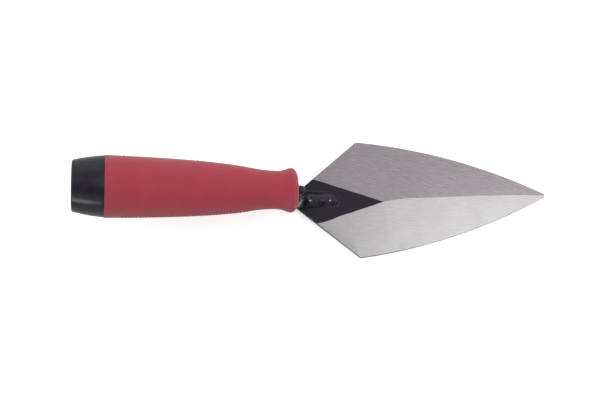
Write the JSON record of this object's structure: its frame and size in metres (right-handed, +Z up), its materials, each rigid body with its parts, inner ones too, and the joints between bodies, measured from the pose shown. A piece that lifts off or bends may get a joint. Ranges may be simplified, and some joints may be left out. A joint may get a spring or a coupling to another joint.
{
  "type": "brick trowel",
  "caption": "Pointing-pattern brick trowel: a pointed steel blade with ground facets on a low forged shank, and a soft red grip with a black butt cap.",
  "frame": {"origin": "on the blade's flat underside, straight below the shank's post", "axes": "+X along the blade to its tip, +Z up from the working face through the shank, +Y to the left when looking from the handle to the tip; the handle runs back along -X and rises 9 degrees"},
  "size_m": [0.2749, 0.0704, 0.0591],
  "materials": {
    "blade_steel": "ground bright, with fine brush lines along the blade; the heel patch is black lacquered",
    "black_lacquer": "black lacquer, semi-gloss, over forged steel",
    "core_plastic": "moulded, unseen inside the grip",
    "red_soft_grip": "soft matte rubber, with a dotted texture underneath",
    "zinc_steel": "zinc plated",
    "cap_plastic": "smooth black plastic, satin"
  },
  "bodies": {
    "root": {"blade": "blade_steel", "shank": "black_lacquer", "weld_bead": "black_lacquer", "handle_core": "core_plastic", "grip_sleeve": "red_soft_grip", "tang_washer": "zinc_steel", "tang_nut": "zinc_steel", "butt_cap": "cap_plastic"}
  },
  "joints": []
}
